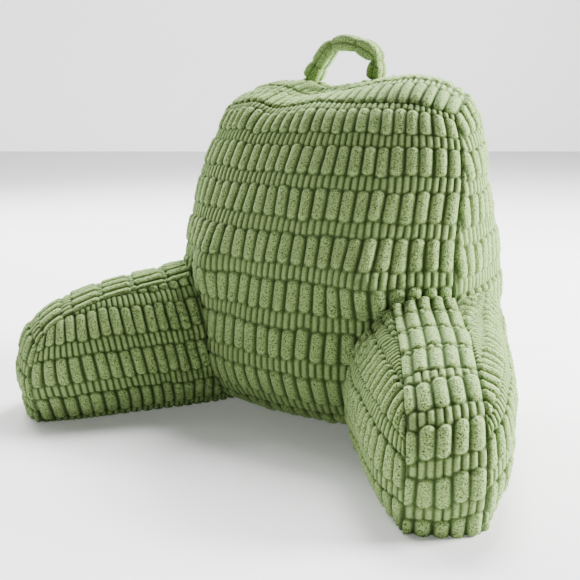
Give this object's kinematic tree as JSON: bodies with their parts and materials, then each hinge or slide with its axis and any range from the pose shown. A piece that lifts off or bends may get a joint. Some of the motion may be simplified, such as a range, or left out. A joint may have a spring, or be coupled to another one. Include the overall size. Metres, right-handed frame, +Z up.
{
  "type": "reading pillow",
  "caption": "Plump backrest pillow with splayed arms and a top carrying loop, in ribbed plush, for sitting up in bed.",
  "frame": {"origin": "middle of the footprint, on the plane that the pillow rests on", "axes": "+Z up, the front with its arms faces -Y, +X towards the arm at the right of someone who looks at the front"},
  "size_m": [0.7168, 0.4636, 0.5201],
  "materials": {
    "ribbed_plush": "matte plush pile in dashed ribs"
  },
  "bodies": {
    "root": {"backrest_front_panel": "ribbed_plush", "backrest_rear_panel": "ribbed_plush", "backrest_left_side_strip": "ribbed_plush", "backrest_right_side_strip": "ribbed_plush", "backrest_top_strip": "ribbed_plush", "left_arm_strip": "ribbed_plush", "left_arm_inner_panel": "ribbed_plush", "left_arm_outer_panel": "ribbed_plush", "right_arm_strip": "ribbed_plush", "right_arm_inner_panel": "ribbed_plush", "right_arm_outer_panel": "ribbed_plush", "carrying_loop": "ribbed_plush"}
  },
  "joints": []
}
